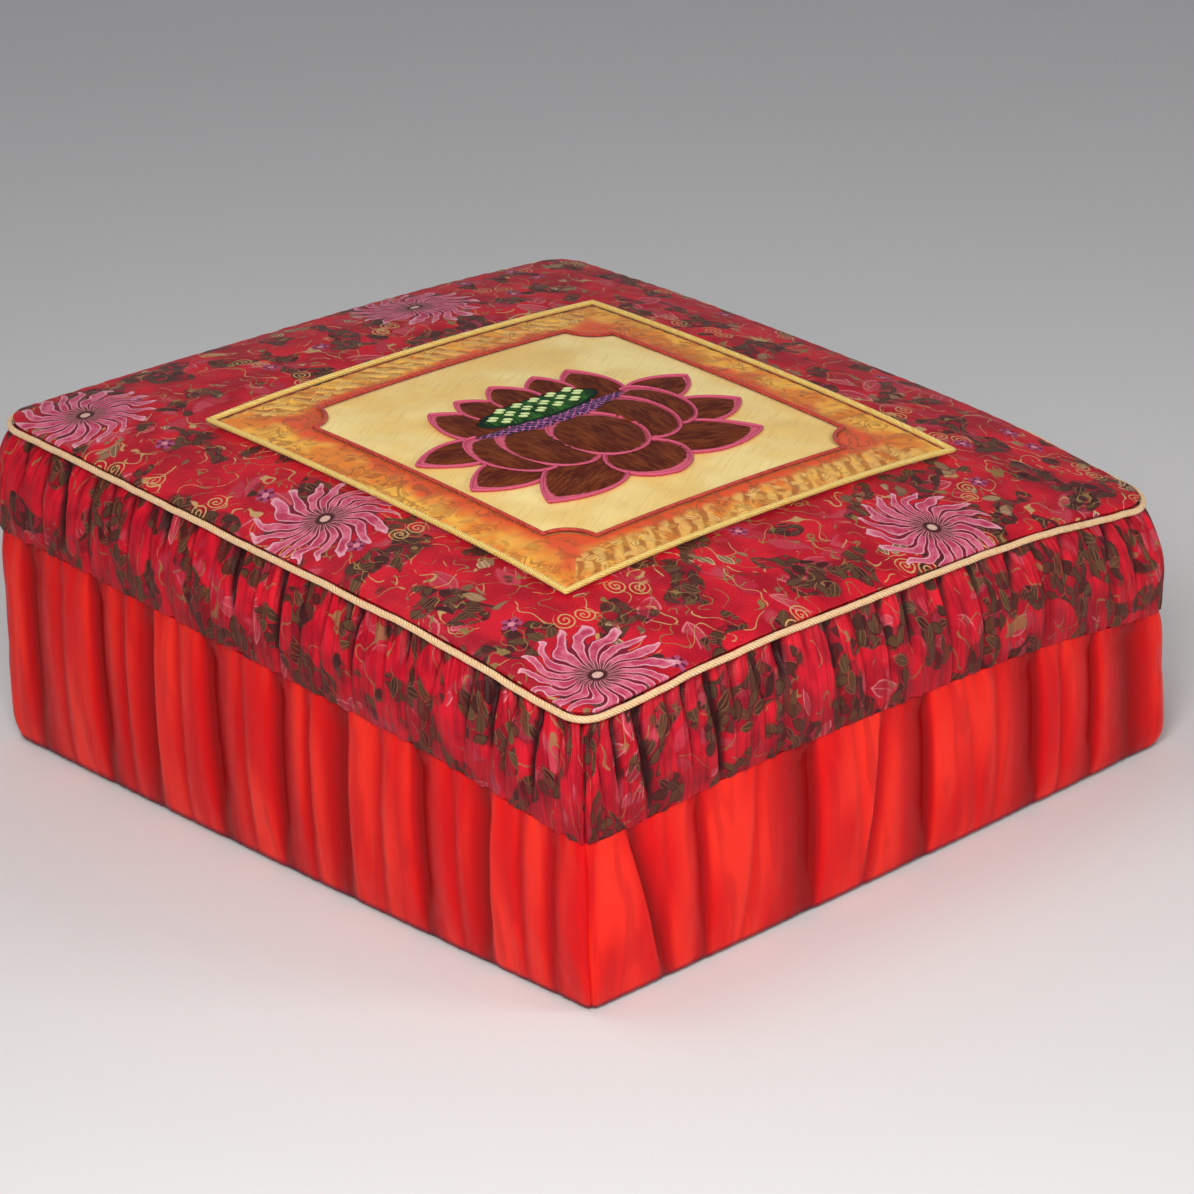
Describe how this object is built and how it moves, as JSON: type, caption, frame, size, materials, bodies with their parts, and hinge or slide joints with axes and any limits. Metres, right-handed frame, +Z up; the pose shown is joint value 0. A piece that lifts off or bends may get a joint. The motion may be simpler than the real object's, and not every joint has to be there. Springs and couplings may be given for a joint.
{
  "type": "square gathered floor cushion",
  "caption": "Square meditation floor cushion with a crowned brocade top, a lotus emblem, gold piping and gathered brocade and satin side bands.",
  "frame": {"origin": "on the floor under the middle of the cushion", "axes": "+Z up, +X along the longer side, towards the foot of the lotus, +Y along the shorter side"},
  "size_m": [0.5188, 0.4688, 0.2161],
  "materials": {
    "red_satin": "satin weave",
    "base_cloth": "plain woven",
    "red_brocade": "figured brocade",
    "gold_piping": "satin piping",
    "gold_damask": "figured damask",
    "gold_cord": "twisted cord",
    "field_satin": "satin weave",
    "red_cord": "twisted cord",
    "petal_thread": "embroidery",
    "seed_thread": "embroidery",
    "stamen_thread": "embroidery"
  },
  "bodies": {
    "root": {"base_panel": "base_cloth", "satin_band": "red_satin", "brocade_band": "red_brocade", "top_panel": "red_brocade", "edge_piping": "gold_piping", "emblem_border": "gold_damask", "emblem_cord": "gold_cord", "field_panel": "field_satin", "field_cord": "red_cord", "stamens": "stamen_thread", "seed_head": "seed_thread", "bowl_petal_middle": "petal_thread", "bowl_petal_inner_right": "petal_thread", "bowl_petal_inner_left": "petal_thread", "bowl_petal_outer_right": "petal_thread", "bowl_petal_outer_left": "petal_thread", "low_petal_middle": "petal_thread", "low_petal_side_right": "petal_thread", "low_petal_side_left": "petal_thread", "side_petal_lower_right": "petal_thread", "side_petal_lower_left": "petal_thread", "side_petal_upper_right": "petal_thread", "side_petal_upper_left": "petal_thread", "back_petal_middle": "petal_thread", "back_petal_inner_right": "petal_thread", "back_petal_inner_left": "petal_thread", "back_petal_outer_right": "petal_thread", "back_petal_outer_left": "petal_thread"}
  },
  "joints": []
}
